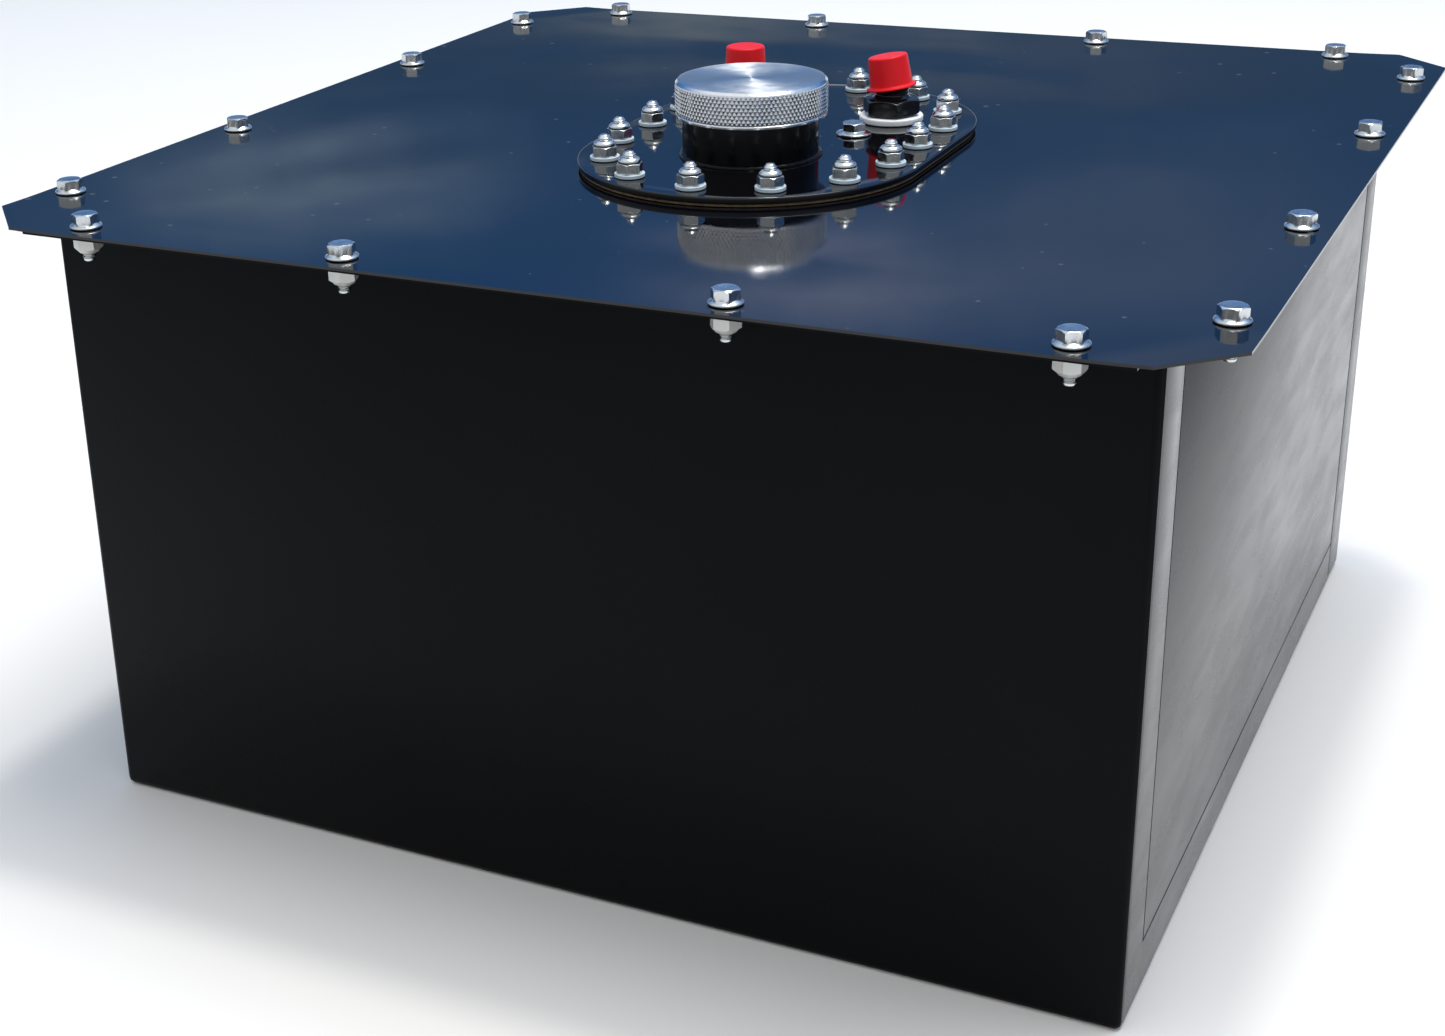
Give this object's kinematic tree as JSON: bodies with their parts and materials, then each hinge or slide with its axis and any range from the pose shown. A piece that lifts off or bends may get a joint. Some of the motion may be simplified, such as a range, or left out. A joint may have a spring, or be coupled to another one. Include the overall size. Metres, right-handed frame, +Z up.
{
  "type": "fluid reservoir",
  "caption": "Square black sheet-steel fluid reservoir: folded can, bolted clipped-corner lid, studded stadium fill plate, knurled screw filler cap and hose unions with dust caps.",
  "frame": {"origin": "centre of the can's underside, on the surface it stands on", "axes": "+X to the right along the front wall, +Y to the rear, +Z up"},
  "size_m": [0.56, 0.56, 0.3351],
  "materials": {
    "black_coat": "glossy black powder coat on thin, slightly wavy sheet steel",
    "plate_coat": "glossy black coat, smoother than the can's",
    "zinc": "bright clear zinc plating with a faint blue cast",
    "turned_alloy": "lathe-turned top, diamond-knurled rim",
    "black_anodise": "satin black anodising",
    "nylon": "white nylon",
    "red_plastic": "soft translucent red push-on plastic",
    "gasket": "tan fibre gasket sheet",
    "seal_rubber": "black nitrile rubber",
    "liner": "moulded black liner",
    "foam": "open-cell anti-slosh foam",
    "bare_steel": "bare steel",
    "filter_mesh": "fine woven wire mesh"
  },
  "bodies": {
    "reservoir": {"earth_bolt": "zinc", "feed_union": "black_anodise", "feed_union_nut": "black_anodise", "feed_washer": "nylon", "fill_plate": "plate_coat", "filler_neck": "plate_coat", "flap_pin": "bare_steel", "foam_block": "foam", "inner_cell": "liner", "lid": "black_coat", "lid_fastener_01": "zinc", "lid_fastener_02": "zinc", "lid_fastener_03": "zinc", "lid_fastener_04": "zinc", "lid_fastener_05": "zinc", "lid_fastener_06": "zinc", "lid_fastener_07": "zinc", "lid_fastener_08": "zinc", "lid_fastener_09": "zinc", "lid_fastener_10": "zinc", "lid_fastener_11": "zinc", "lid_fastener_12": "zinc", "lid_fastener_13": "zinc", "lid_fastener_14": "zinc", "lid_fastener_15": "zinc", "lid_fastener_16": "zinc", "pickup_strainer": "filter_mesh", "pickup_tube": "bare_steel", "plate_gasket": "gasket", "plate_nut_01": "zinc", "plate_nut_02": "zinc", "plate_nut_03": "zinc", "plate_nut_04": "zinc", "plate_nut_05": "zinc", "plate_nut_06": "zinc", "plate_nut_07": "zinc", "plate_nut_08": "zinc", "plate_nut_09": "zinc", "plate_nut_10": "zinc", "plate_nut_11": "zinc", "plate_nut_12": "zinc", "plate_nut_13": "zinc", "plate_nut_14": "zinc", "plate_nut_15": "zinc", "plate_nut_16": "zinc", "rollover_cage": "nylon", "side_panel_left": "black_coat", "side_panel_right": "black_coat", "stud_ring": "bare_steel", "vent_union": "black_anodise", "vent_union_nut": "black_anodise", "vent_washer": "nylon", "wrap_panel": "black_coat"},
    "cap_carrier": {"cap_seal": "seal_rubber"},
    "cap": {"filler_cap": "turned_alloy"},
    "flap": {"filler_flap": "bare_steel"},
    "feed_cap": {"feed_dust_cap": "red_plastic"},
    "vent_cap": {"vent_dust_cap": "red_plastic"},
    "vent_ball": {"rollover_ball": "bare_steel"}
  },
  "joints": [
    {"name": "cap_lift", "type": "slide", "parent": "reservoir", "child": "cap_carrier", "axis": [0, 0, 1], "range_m": [0, 0.0127]},
    {"name": "cap_turn", "type": "hinge", "parent": "cap_carrier", "child": "cap", "pos_m": [0.0095, -0.0605, 0.3182], "axis": [0, 0, 1], "range_deg": [0, 1440]},
    {"name": "flap_swing", "type": "hinge", "parent": "reservoir", "child": "flap", "pos_m": [0.0095, -0.0945, 0.2826], "axis": [-1, 0, 0], "range_deg": [0, 75], "stiffness_Nm_per_rad": 0.01, "springref_deg": -68.75},
    {"name": "feed_cap_pull", "type": "slide", "parent": "reservoir", "child": "feed_cap", "axis": [0, 0, 1], "range_m": [0, 0.025]},
    {"name": "vent_cap_pull", "type": "slide", "parent": "reservoir", "child": "vent_cap", "axis": [0, 0, 1], "range_m": [0, 0.025]},
    {"name": "vent_ball_rise", "type": "slide", "parent": "reservoir", "child": "vent_ball", "axis": [0, 0, 1], "range_m": [0, 0.009]}
  ],
  "couplings": [
    {"joint": "cap_turn", "follows": "cap_lift", "rad_per_m": 1978.9}
  ]
}
